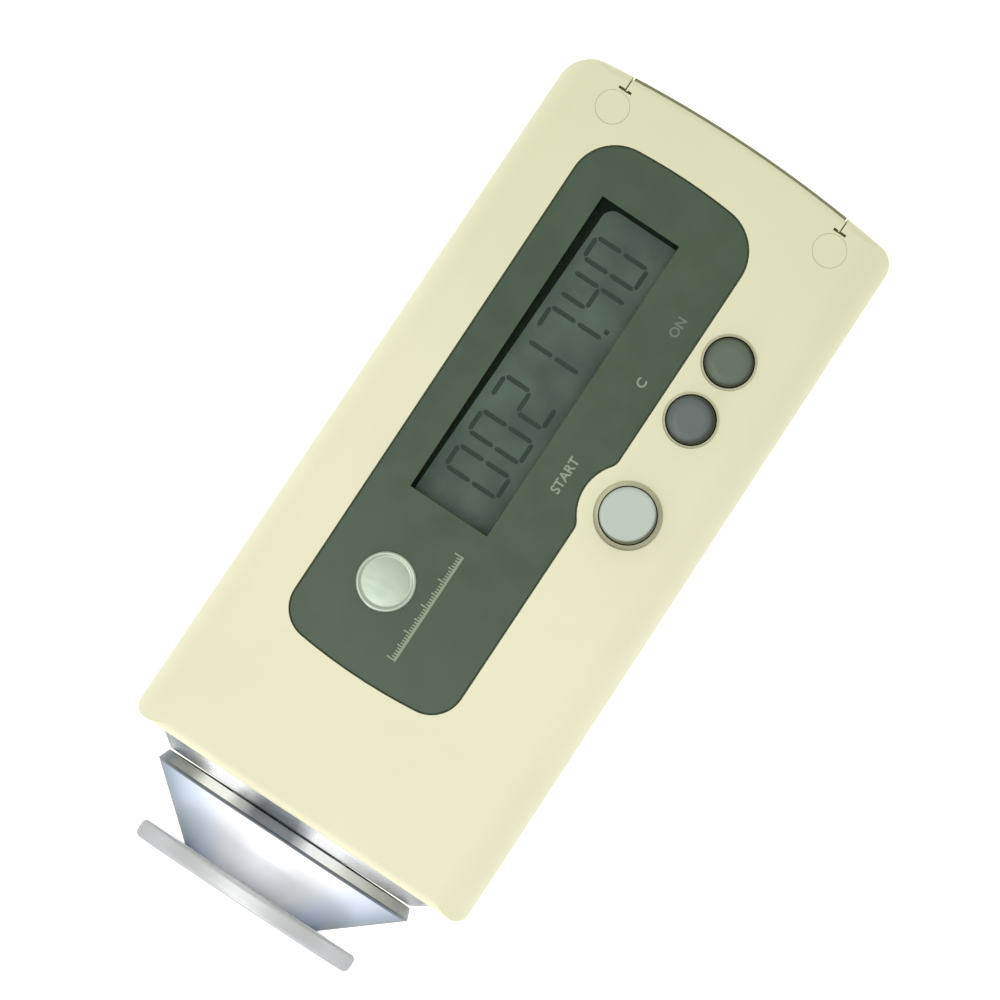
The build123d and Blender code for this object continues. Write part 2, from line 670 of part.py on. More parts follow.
def screw_plugs():
    """Flush plugs over the two front screws."""
    plugs = []
    seat = CASE_DEPTH - PLUG_THICKNESS
    for at in FRONT_POSTS:
        plug = upright(at, PLUG_RADIUS - PLUG_FIT, seat, PLUG_TOP_Z)
        plugs.append(plug + upright(at, FRONT_BORE - PLUG_FIT, seat - PLUG_STEM, seat))
    return plugs


def header_pin_positions():
    """Plan positions of the four pins between the contact board and the main board."""
    x = CONTACT_BOARD_X - PIN_WIDTH / 2
    return [(x, (step - (PIN_COUNT - 1) / 2) * PIN_PITCH) for step in range(PIN_COUNT)]


def main_board():
    """Main circuit board, with its screw holes and pin holes."""
    board = span_box(
        (BOARD_LEFT, BOARD_RIGHT), (-BOARD_HALF_WIDTH, BOARD_HALF_WIDTH), (BOARD_BOTTOM_Z, BOARD_TOP_Z)
    )
    board = chamfer(board.edges().filter_by(Axis.Z), BOARD_CORNER)
    for at in BOARD_POSTS:
        board -= upright(at, BOARD_SCREW_RADIUS + BOARD_HOLE_FIT, BOARD_BOTTOM_Z, BOARD_TOP_Z)
    for x, y in header_pin_positions():
        board -= Pos(x, y, BOARD_TOP_Z) * Box(PIN_HOLE, PIN_HOLE, 2 * PIN_HOLE_DEPTH)
    return board


def header_pins():
    """Four pins that join the contact board to the main board."""
    middle = (PIN_BOTTOM_Z + PIN_TOP_Z) / 2
    height = PIN_TOP_Z - PIN_BOTTOM_Z
    return [Pos(x, y, middle) * Box(PIN_WIDTH, PIN_WIDTH, height) for x, y in header_pin_positions()]


def hung(centre, size):
    """Block hung under the main board, with small chamfers on its lower edges."""
    block = Pos(centre[0], centre[1], BOARD_BOTTOM_Z - size[2] / 2) * Box(*size)
    return chamfer(block.faces().sort_by(Axis.Z)[0].edges(), CHIP_CHAMFER)


def crystal():
    """Crystal can under the main board, with rounded ends."""
    length, width, height = CRYSTAL_SIZE
    outline = RectangleRounded(length, width, CRYSTAL_END_RADIUS)
    return extrude(Pos(CRYSTAL_CENTRE[0], CRYSTAL_CENTRE[1], BOARD_BOTTOM_Z - height) * outline, height)


def capacitors():
    """Two round capacitors under the main board."""
    low = BOARD_BOTTOM_Z - CAPACITOR_HEIGHT
    cans = []
    for at in CAPACITORS:
        can = upright(at, CAPACITOR_RADIUS, low, BOARD_BOTTOM_Z)
        cans.append(fillet(can.faces().sort_by(Axis.Z)[0].edges(), CAPACITOR_EDGE))
    return cans


def photo_interrupter():
    """Light gate under the main board, astride the rim of the encoder disc."""
    half = INTERRUPTER_LENGTH / 2
    width = INTERRUPTER_WIDTH / 2
    slot = INTERRUPTER_SLOT / 2
    gate = span_box((-half, half), (-width, width), (INTERRUPTER_BOTTOM_Z, BOARD_BOTTOM_Z))
    gate -= span_box((-slot, slot), (-width, width), (INTERRUPTER_BOTTOM_Z, INTERRUPTER_SLOT_Z))
    return Pos(ENCODER_X, 0, 0) * gate


def lcd_glass():
    """Liquid crystal cell: a lower glass and a slightly narrower upper glass."""
    step = (LCD_BOTTOM_Z + LCD_TOP_Z) / 2
    lower = lcd_box(LCD_GLASS, LCD_BOTTOM_Z, step)
    return lower + lcd_box((LCD_GLASS[0], LCD_GLASS[1] - LCD_STEP), step, LCD_TOP_Z)


def lcd_frame():
    """Frame that holds the cell and the rubber connectors over the main board."""
    inner = [side + 2 * LCD_FRAME_GAP for side in LCD_GLASS]
    outer = [side + 2 * LCD_FRAME_WALL for side in inner]
    top = FRONT_INSIDE_Z - LCD_FRAME_TOP_GAP
    return lcd_box(outer, BOARD_TOP_Z, top) - lcd_box(inner, BOARD_TOP_Z, top)


def zebra_strips():
    """Two rubber connectors between the main board and the display cell."""
    return [
        Pos(0, side * ZEBRA_OFFSET, 0) * lcd_box((ZEBRA_LENGTH, ZEBRA_WIDTH), BOARD_TOP_Z, LCD_BOTTOM_Z)
        for side in (-1, 1)
    ]


def battery_block():
    """Body of the nine-volt battery."""
    left = BATTERY_RIGHT - BATTERY_LENGTH
    middle = BATTERY_BOTTOM_Z + BATTERY_HEIGHT / 2
    plane = Plane(origin=(left, 0, middle), x_dir=(0, 1, 0), z_dir=(1, 0, 0))
    section = RectangleRounded(2 * BATTERY_HALF_WIDTH, BATTERY_HEIGHT, BATTERY_EDGE)
    return extrude(plane * section, BATTERY_LENGTH)


def along_x(y, radius, low, high):
    """Cylinder along X at the battery terminals' height, between two x values."""
    middle = BATTERY_BOTTOM_Z + BATTERY_HEIGHT / 2
    return Pos((low + high) / 2, y, middle) * Rot(0, 90, 0) * Cylinder(radius, high - low)


def battery_positive_terminal():
    """Round stud of the battery."""
    face = BATTERY_RIGHT - BATTERY_LENGTH
    return along_x(TERMINAL_HALF_PITCH, STUD_RADIUS, face - TERMINAL_HEIGHT, face)


def battery_negative_terminal():
    """Open socket of the battery."""
    face = BATTERY_RIGHT - BATTERY_LENGTH
    ring = along_x(-TERMINAL_HALF_PITCH, SOCKET_RADIUS, face - TERMINAL_HEIGHT, face)
    return ring - along_x(-TERMINAL_HALF_PITCH, SOCKET_BORE, face - TERMINAL_HEIGHT, face)


def contact_board():
    """Small upright board that carries the two battery contacts."""
    right = CONTACT_BOARD_X + CONTACT_BOARD_THICKNESS
    half = CONTACT_BOARD_HALF_WIDTH
    return span_box((CONTACT_BOARD_X, right), (-half, half), (CONTACT_BOARD_BOTTOM_Z, CONTACT_BOARD_TOP_Z))


def contact_socket():
    """Contact that takes the battery's stud."""
    low = CONTACT_BOARD_X + CONTACT_BOARD_THICKNESS
    high = BATTERY_RIGHT - BATTERY_LENGTH - CONTACT_GAP
    ring = along_x(TERMINAL_HALF_PITCH, SOCKET_RADIUS, low, high)
    return ring - along_x(TERMINAL_HALF_PITCH, STUD_RADIUS + CONTACT_FIT, low, high)


def contact_stud():
    """Contact that enters the battery's socket."""
    low = CONTACT_BOARD_X + CONTACT_BOARD_THICKNESS
    high = BATTERY_RIGHT - BATTERY_LENGTH - CONTACT_GAP
    return along_x(-TERMINAL_HALF_PITCH, SOCKET_BORE - CONTACT_GAP, low, high)


def bearing_collar():
    """Fixed metal nose: a flared flange, a neck through the end wall and the housing of both bearings."""
    collar = turned(
        [
            (HOUSING_FRONT_X, BEARING_RADIUS + BORE_FIT),
            (HOUSING_FRONT_X, HOUSING_RADIUS),
            (COLLAR_FRONT_X, HOUSING_RADIUS),
            (COLLAR_FRONT_X, COLLAR_SMALL_RADIUS),
            (CASE_LEFT, COLLAR_RADIUS),
            (CASE_LEFT, NECK_RADIUS),
            (NECK_END_X, NECK_RADIUS),
            (NECK_END_X, HOUSING_RADIUS),
            (HOUSING_REAR_X, HOUSING_RADIUS),
            (HOUSING_REAR_X, BEARING_RADIUS + BORE_FIT),
            (REAR_BEARING_X - BEARING_WIDTH / 2, BEARING_RADIUS + BORE_FIT),
            (REAR_BEARING_X - BEARING_WIDTH / 2, HOUSING_BORE),
            (FRONT_BEARING_X + BEARING_WIDTH / 2, HOUSING_BORE),
            (FRONT_BEARING_X + BEARING_WIDTH / 2, BEARING_RADIUS + BORE_FIT),
        ]
    )
    return collar


def collar_nut():
    """Ring nut behind the end wall, with four spanner notches."""
    low = INSIDE_LEFT
    high = INSIDE_LEFT + NUT_LENGTH
    nut = axle(NUT_RADIUS, low, high) - axle(NECK_RADIUS + SCREW_FIT, low, high)
    cutter = Pos((low + high) / 2, 0, NUT_RADIUS) * Box(NUT_LENGTH, NUT_NOTCH, 2 * NUT_NOTCH_DEPTH)
    for turn in (45, 135, 225, 315):
        nut -= Pos(0, 0, AXIS_Z) * Rot(turn, 0, 0) * cutter
    return nut


def ball_centres(middle):
    """Positions of the balls of the bearing at x = middle."""
    turns = [2 * math.pi * step / BALL_COUNT for step in range(BALL_COUNT)]
    return [(middle, BALL_PITCH * math.sin(t), AXIS_Z + BALL_PITCH * math.cos(t)) for t in turns]


def bearing_ring(middle, inner, outer):
    """One bearing ring with its ball groove."""
    low = middle - BEARING_WIDTH / 2
    high = middle + BEARING_WIDTH / 2
    ring = axle(outer, low, high) - axle(inner, low, high)
    groove = revolve(
        Plane((middle, 0, AXIS_Z + BALL_PITCH), x_dir=(1, 0, 0), z_dir=(0, -1, 0)) * Circle(GROOVE_RADIUS),
        Axis((0, 0, AXIS_Z), (1, 0, 0)),
        360,
    )
    return ring - groove


def bearing_cage(middle):
    """Ring that keeps the balls of one bearing apart."""
    low = middle - CAGE_WIDTH / 2
    high = middle + CAGE_WIDTH / 2
    cage = axle(CAGE_OUTER, low, high) - axle(CAGE_INNER, low, high)
    for centre in ball_centres(middle):
        cage -= Pos(*centre) * Sphere(CAGE_POCKET)
    return cage


def bearing_middles():
    """x positions of the two bearings."""
    return (FRONT_BEARING_X, REAR_BEARING_X)


def bearing_balls():
    """Balls of both bearings."""
    centres = [centre for middle in bearing_middles() for centre in ball_centres(middle)]
    return [Pos(*centre) * Sphere(BALL_RADIUS) for centre in centres]


def spacer():
    """Tube that keeps the two inner rings apart."""
    low = FRONT_BEARING_X + BEARING_WIDTH / 2
    high = REAR_BEARING_X - BEARING_WIDTH / 2
    return axle(SPACER_RADIUS, low, high) - axle(BEARING_BORE + BORE_FIT, low, high)


def spindle():
    """Wheel spindle, with a shoulder behind the rear bearing and a tapped front end."""
    rear = REAR_BEARING_X + BEARING_WIDTH / 2
    bar = axle(BEARING_BORE, SPINDLE_FRONT_X, SPINDLE_REAR_X) + axle(SHOULDER_RADIUS, rear, SHOULDER_END_X)
    bar = chamfer(bar.faces().sort_by(Axis.X)[-1].edges(), SPINDLE_CHAMFER)
    return bar - axle(HUB_SCREW_RADIUS + SCREW_FIT, SPINDLE_FRONT_X, SCREW_BORE_END_X)


def wheel_hub():
    """Turned cone that carries the wheel disc and covers the front bearing."""
    cone = turned(
        [
            (SPINDLE_FRONT_X, BEARING_BORE + BORE_FIT),
            (SPINDLE_FRONT_X, HUB_SCREW_RADIUS + HUB_SCREW_FIT),
            (HUB_SPIGOT_X, HUB_SCREW_RADIUS + HUB_SCREW_FIT),
            (HUB_SPIGOT_X, HUB_NOSE_RADIUS),
            (WHEEL_INNER_X, HUB_NOSE_RADIUS),
            (WHEEL_INNER_X, CONE_SMALL_RADIUS),
            (CONE_LIP_X, CONE_LIP_RADIUS),
            (CONE_BACK_X, CONE_BACK_RADIUS),
            (CONE_BACK_X, HUB_INNER_RADIUS),
            (HUB_INNER_X, HUB_INNER_RADIUS),
            (HUB_FLOOR_X, CONE_SMALL_RADIUS),
            (HUB_FLOOR_X, HUB_BOSS_RADIUS),
            (HUB_BOSS_X, HUB_BOSS_RADIUS),
            (HUB_BOSS_X, HUB_NOSE_RADIUS),
            (FRONT_BEARING_X - BEARING_WIDTH / 2, HUB_NOSE_RADIUS),
            (FRONT_BEARING_X - BEARING_WIDTH / 2, BEARING_BORE + BORE_FIT),
        ]
    )
    return cone


def wheel_disc():
    """Measuring disc, 100 mm round its rim, with rounded rim edges and a recess for the washer."""
    disc = axle(WHEEL_RADIUS, WHEEL_OUTER_X, WHEEL_INNER_X)
    disc = fillet(disc.edges().filter_by(GeomType.CIRCLE), WHEEL_EDGE)
    disc -= axle(WHEEL_RECESS_RADIUS, WHEEL_OUTER_X, WHEEL_OUTER_X + WHEEL_RECESS_DEPTH)
    return disc - axle(HUB_NOSE_RADIUS + WHEEL_BORE_FIT, WHEEL_OUTER_X, WHEEL_INNER_X)


def hub_washer():
    """Countersunk washer that clamps the disc to the hub."""
    inner_x = WHEEL_OUTER_X + WHEEL_RECESS_DEPTH
    washer = turned(
        [
            (WASHER_OUTER_X, HUB_SCREW_HEAD + SCREW_FIT),
            (WASHER_OUTER_X, WASHER_RADIUS - WASHER_CHAMFER),
            (WASHER_OUTER_X + WASHER_CHAMFER, WASHER_RADIUS),
            (inner_x, WASHER_RADIUS),
            (inner_x, HUB_SCREW_RADIUS + SCREW_FIT),
        ]
    )
    return washer


def hub_screw():
    """Countersunk screw of the wheel, with a cross recess."""
    inner_x = WHEEL_OUTER_X + WHEEL_RECESS_DEPTH
    body = turned(
        [
            (WASHER_OUTER_X, 0),
            (WASHER_OUTER_X, HUB_SCREW_HEAD),
            (inner_x, HUB_SCREW_RADIUS),
            (HUB_SCREW_END_X, HUB_SCREW_RADIUS),
            (HUB_SCREW_END_X, 0),
        ]
    )
    for turn in (0, 90):
        arm = Pos(WASHER_OUTER_X + CROSS_RECESS_DEPTH / 2, 0, AXIS_Z) * Rot(turn, 0, 0)
        body -= arm * Box(CROSS_RECESS_DEPTH, HUB_SCREW_RECESS, CROSS_RECESS_WIDTH)
    return body


def encoder_hub():
    """Hub of the encoder disc, pressed on the end of the spindle."""
    seat = ENCODER_X - ENCODER_THICKNESS / 2
    hub = axle(ENCODER_HUB_RADIUS, SHOULDER_END_X, seat) + axle(ENCODER_SEAT, seat, ENCODER_CLAMP_END_X)
    return hub - axle(BEARING_BORE + BORE_FIT, SHOULDER_END_X, ENCODER_CLAMP_END_X)


def encoder_disc():
    """Slotted disc whose rim runs through the light gate."""
    low = ENCODER_X - ENCODER_THICKNESS / 2
    high = ENCODER_X + ENCODER_THICKNESS / 2
    disc = axle(ENCODER_RADIUS, low, high) - axle(ENCODER_SEAT + SCREW_FIT, low, high)
    cutter = Box(2 * ENCODER_THICKNESS, ENCODER_SLOT_WIDTH, ENCODER_SLOT_LENGTH)
    slot = Pos(ENCODER_X, 0, ENCODER_SLOT_PITCH) * cutter
    turns = [360 * step / ENCODER_SLOTS for step in range(ENCODER_SLOTS)]
    return disc - [Pos(0, 0, AXIS_Z) * Rot(turn, 0, 0) * slot for turn in turns]


def encoder_clamp():
    """Ring that holds the encoder disc on its hub."""
    low = ENCODER_X + ENCODER_THICKNESS / 2
    ring = axle(ENCODER_HUB_RADIUS, low, ENCODER_CLAMP_END_X)
    return ring - axle(ENCODER_SEAT + SCREW_FIT, low, ENCODER_CLAMP_END_X)


def pieces():
    """Every node of the object, by name, as one solid or a list of solids."""
    middles = bearing_middles()
    return {
        "front_cover": front_cover(),
        "rear_cover": rear_cover(),
        "display_window": display_window(),
        "main_button": key(MAIN_KEY, MAIN_KEY_RADIUS, MAIN_KEY_TOP_Z, MAIN_KEY_EDGE),
        "left_small_button": key(LEFT_KEY, SMALL_KEY_RADIUS, SMALL_KEY_TOP_Z, SMALL_KEY_EDGE),
        "right_small_button": key(RIGHT_KEY, SMALL_KEY_RADIUS, SMALL_KEY_TOP_Z, SMALL_KEY_EDGE),
        "screw_plugs": screw_plugs(),
        "front_screws": front_screws(),
        "rear_screws": rear_screws(),
        "battery_door": battery_door(),
        "door_hinge_pin": door_hinge_pin(),
        "battery_block": battery_block(),
        "battery_positive_terminal": battery_positive_terminal(),
        "battery_negative_terminal": battery_negative_terminal(),
        "contact_board": contact_board(),
        "contact_socket": contact_socket(),
        "contact_stud": contact_stud(),
        "header_pins": header_pins(),
        "lcd_glass": lcd_glass(),
        "lcd_frame": lcd_frame(),
        "zebra_strips": zebra_strips(),
        "main_board": main_board(),
        "board_screws": board_screws(),
        "controller_chip": hung(CHIP_CENTRE, CHIP_SIZE),
        "crystal": crystal(),
        "capacitors": capacitors(),
        "regulator": hung(REGULATOR_CENTRE, REGULATOR_SIZE),
        "switch_bodies": switch_bodies(),
        "main_plunger": plunger(MAIN_KEY),
        "left_small_plunger": plunger(LEFT_KEY),
        "right_small_plunger": plunger(RIGHT_KEY),
        "photo_interrupter": photo_interrupter(),
        "bearing_collar": bearing_collar(),
        "collar_nut": collar_nut(),
        "bearing_outer_rings": [bearing_ring(x, OUTER_RING_BORE, BEARING_RADIUS) for x in middles],
        "bearing_inner_rings": [bearing_ring(x, BEARING_BORE + BORE_FIT, INNER_RING_RADIUS) for x in middles],
        "bearing_balls": bearing_balls(),
        "bearing_cages": [bearing_cage(x) for x in middles],
        "bearing_spacer": spacer(),
        "spindle": spindle(),
        "wheel_hub": wheel_hub(),
        "wheel_disc": wheel_disc(),
        "hub_washer": hub_washer(),
        "hub_screw": hub_screw(),
        "encoder_hub": encoder_hub(),
        "encoder_disc": encoder_disc(),
        "encoder_clamp": encoder_clamp(),
    }


os.makedirs("parts", exist_ok=True)
for name, shape in pieces().items():
    solids = shape if isinstance(shape, list) else [shape]
    export_step(Compound(children=[s for part in solids for s in part.solids()]), f"parts/{name}.step")
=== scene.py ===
"""Looks of the hand-held electronic measuring wheel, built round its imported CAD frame."""

import math

import bmesh
import bpy
from mathutils import Matrix, Vector


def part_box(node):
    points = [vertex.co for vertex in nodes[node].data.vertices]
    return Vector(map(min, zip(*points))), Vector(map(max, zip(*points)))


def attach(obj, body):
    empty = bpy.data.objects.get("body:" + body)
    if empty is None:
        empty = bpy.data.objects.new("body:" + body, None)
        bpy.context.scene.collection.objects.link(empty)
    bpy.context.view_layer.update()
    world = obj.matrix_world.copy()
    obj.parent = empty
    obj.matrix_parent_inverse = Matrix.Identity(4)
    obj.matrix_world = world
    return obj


MM = 0.001

# Camera: far above the face, turned so that the wheel points to the lower left of the picture
CAMERA_TURN = math.radians(-56.44)
CAMERA_TARGET = (3.04 * MM, 0.82 * MM)
CAMERA_HEIGHT = 6.0
TRUE_SCALE_HEIGHT = 32.0 * MM  # height above the floor at which VIEW_WIDTH holds
VIEW_WIDTH = 125.3 * MM
SENSOR_WIDTH = 36.0

# Light and floor
WORLD_STRENGTH = 0.79
KEY_DIRECTION = Vector((-0.4, 0.12, 1.0))
KEY_DISTANCE = 0.65
KEY_SIZE = 0.5
KEY_POWER = 1.08
WHEEL_LIGHT_DIRECTION = Vector((-1.0, 0.0, 0.3))
WHEEL_LIGHT_DISTANCE = 0.5
WHEEL_LIGHT_SIZE = 0.12
WHEEL_LIGHT_POWER = 0.3
FLOOR_SIZE = 6.0
FLOOR_GLOW = 0.45

# Case: where painted shade darkens it, measured from the middle towards the far end
FAR_SHADE_START = -5.0 * MM
FAR_SHADE_END = 52.0 * MM
FAR_SHADE_DEPTH = 0.55

# Step between the battery door and the lip of the face, at the bowed end
CASE_RIGHT = 57.2 * MM
BOW_RADIUS = 165.0 * MM
LIP_SHADE_START = 0.4 * MM  # inside the bowed end
LIP_SHADE_FULL = 0.3 * MM
LIP_LOW = 39.7 * MM
LIP_HALF_WIDTH = 15.9 * MM

# Painted shade on the key caps: shift of the lit middle, radius where the cap starts to darken, radius where
# it is darkest
MAIN_CAP_SHADE = ((0.25 * MM, 0.3 * MM), 3.35 * MM, 3.8 * MM)
LEFT_CAP_SHADE = ((0.0, 0.3 * MM), 2.4 * MM, 3.15 * MM)
RIGHT_CAP_SHADE = ((0.05 * MM, 0.12 * MM), 2.5 * MM, 3.15 * MM)

# Painted shadows round the keys, where each cap shades its dish: inner and outer radius, side that they lie
# on, depth
MAIN_KEY_SHADOW = (3.9 * MM, 4.7 * MM, (-0.3, -0.95), 0.15)
LEFT_KEY_SHADOW = (3.1 * MM, 3.8 * MM, (0.0, -1.0), 0.25)
RIGHT_KEY_SHADOW = (3.1 * MM, 3.9 * MM, (1.0, 0.1), 0.4)
KEY_SHADOW_SIDE = (-0.2, 0.8)  # where a painted shadow starts and is full, as shares of its inner radius

# Finish textures
MOTTLE_RANGE = (0.35, 0.65)  # noise values between which a colour changes
UNEVEN_RANGE = (0.3, 0.7)  # noise values between which a roughness changes
PLASTIC_GRAIN = 0.02 * MM

# Wheel
CONE_LIP_X = -47.45 * MM
CONE_LIP_SHADE = (0.16 * MM, 0.3 * MM)  # half widths of the painted shade line at the lip and of its soft edge
CONE_LIP_BLEND = 0.05 * MM
CONE_ROUGHNESS = 0.42
LIP_ROUGHNESS = 0.4
LIP_METALLIC = 0.25
DISC_INNER_X = -54.8 * MM
DISC_INNER_BLEND = (-0.04 * MM, -0.01 * MM)
DISC_FACE_ROUGHNESS = 0.35
RIM_ROUGHNESS = 0.45
TURNED_RELIEF = 0.004 * MM
TURNED_SCALE = 925.926  # of the wave texture, which puts the rings about 0.34 mm apart
# Painted reflections on the plating: where they start across the case, their span and how far their edges
# waver
REFLECTION_START = 18.4 * MM
REFLECTION_SPAN = 39.0 * MM
REFLECTION_WAVER = 3.0 * MM

# Display
LCD_VISIBLE = (43.5 * MM, 11.5 * MM)
OPENING_SPARE = 0.8 * MM  # how much larger than the opening the painted shade of its walls reaches
OPENING_BOTTOM = 35.0 * MM
# Painted shadow of the opening's walls on the display cell: width at the top, at the left end of the top and
# at the right, radius and steps of its inner corner
DISPLAY_SHADOW_TOP = 1.35 * MM
DISPLAY_SHADOW_LEFT = 0.6 * MM
DISPLAY_SHADOW_RIGHT = 0.6 * MM
DISPLAY_SHADOW_CORNER = 1.6 * MM
DISPLAY_SHADOW_CORNER_STEPS = 8
PRINT_THICKNESS = 0.03 * MM
DIGIT_HEIGHT = 8.2 * MM
DIGIT_WIDTH = 3.7 * MM
DIGIT_PITCH = 5.2 * MM
DIGIT_DROP = 0.3 * MM
DIGIT_STROKE = 0.6 * MM
DIGIT_GAP = 0.12 * MM
DISPLAY_TEXT = "00217.40"
SEGMENTS = {
    "0": "abcdef",
    "1": "bc",
    "2": "abged",
    "4": "fgbc",
    "7": "abc",
}

# Prints on the window
BADGE_CENTRE = (-13.36 * MM, 7.06 * MM)
BADGE_RADIUS = 3.83 * MM
BADGE_HEIGHT = 0.35 * MM
BADGE_STEPS = 96
BADGE_PROFILE = [  # shares of the radius and of the height
    (0.0, 0.85),
    (0.3, 0.83),
    (0.6, 0.72),
    (0.8, 0.5),
    (0.84, 0.45),
    (0.88, 0.9),
    (0.94, 1.0),
    (0.98, 0.85),
    (1.0, 0.5),
    (1.0, 0.0),
    (0.0, 0.0),
]
SCALE_CENTRE = (-13.3 * MM, 1.15 * MM)
SCALE_LENGTH = 15.6 * MM
SCALE_DROP = 0.6 * MM
SCALE_TICKS = 40
SCALE_LINE = 0.35 * MM
TICK_WIDTH = 0.2 * MM
TICK_SHORT = 0.75 * MM
TICK_HALF = 1.0 * MM
TICK_LONG = 1.3 * MM
START_LABEL = (10.1 * MM, -4.3 * MM)
CLEAR_LABEL = (25.0 * MM, -5.9 * MM)
POWER_LABEL = (33.3 * MM, -5.85 * MM)
LABEL_HEIGHT = 1.25 * MM
LABEL_SPREAD = 0.04 * MM
CAPITAL_SHARE = 0.72  # height of a capital over the size of its letters

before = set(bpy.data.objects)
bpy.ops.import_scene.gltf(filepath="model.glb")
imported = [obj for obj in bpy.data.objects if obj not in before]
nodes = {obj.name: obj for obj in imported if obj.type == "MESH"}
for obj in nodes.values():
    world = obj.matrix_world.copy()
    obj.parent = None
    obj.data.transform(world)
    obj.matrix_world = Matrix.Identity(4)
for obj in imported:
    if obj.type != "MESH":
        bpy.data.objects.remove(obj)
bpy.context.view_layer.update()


def middle_of(node):
    """Plan position of the middle of a CAD node."""
    low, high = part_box(node)
    return ((low[0] + high[0]) / 2, (low[1] + high[1]) / 2)


LCD_CENTRE = middle_of("lcd_glass")
LCD_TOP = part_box("lcd_glass")[1][2]
WINDOW_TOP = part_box("display_window")[1][2]
MAIN_KEY = middle_of("main_button")
LEFT_KEY = middle_of("left_small_button")
RIGHT_KEY = middle_of("right_small_button")


def srgb(red, green, blue):
    """Linear colour with alpha 1 from 0 to 255 screen values."""
    values = [v / 255 for v in (red, green, blue)]
    linear = [v / 12.92 if v <= 0.04045 else ((v + 0.055) / 1.055) ** 2.4 for v in values]
    return (*linear, 1.0)


def shaded(colour, factor):
    """A colour made lighter or darker."""
    return (*[min(1.0, c * factor) for c in colour[:3]], 1.0)


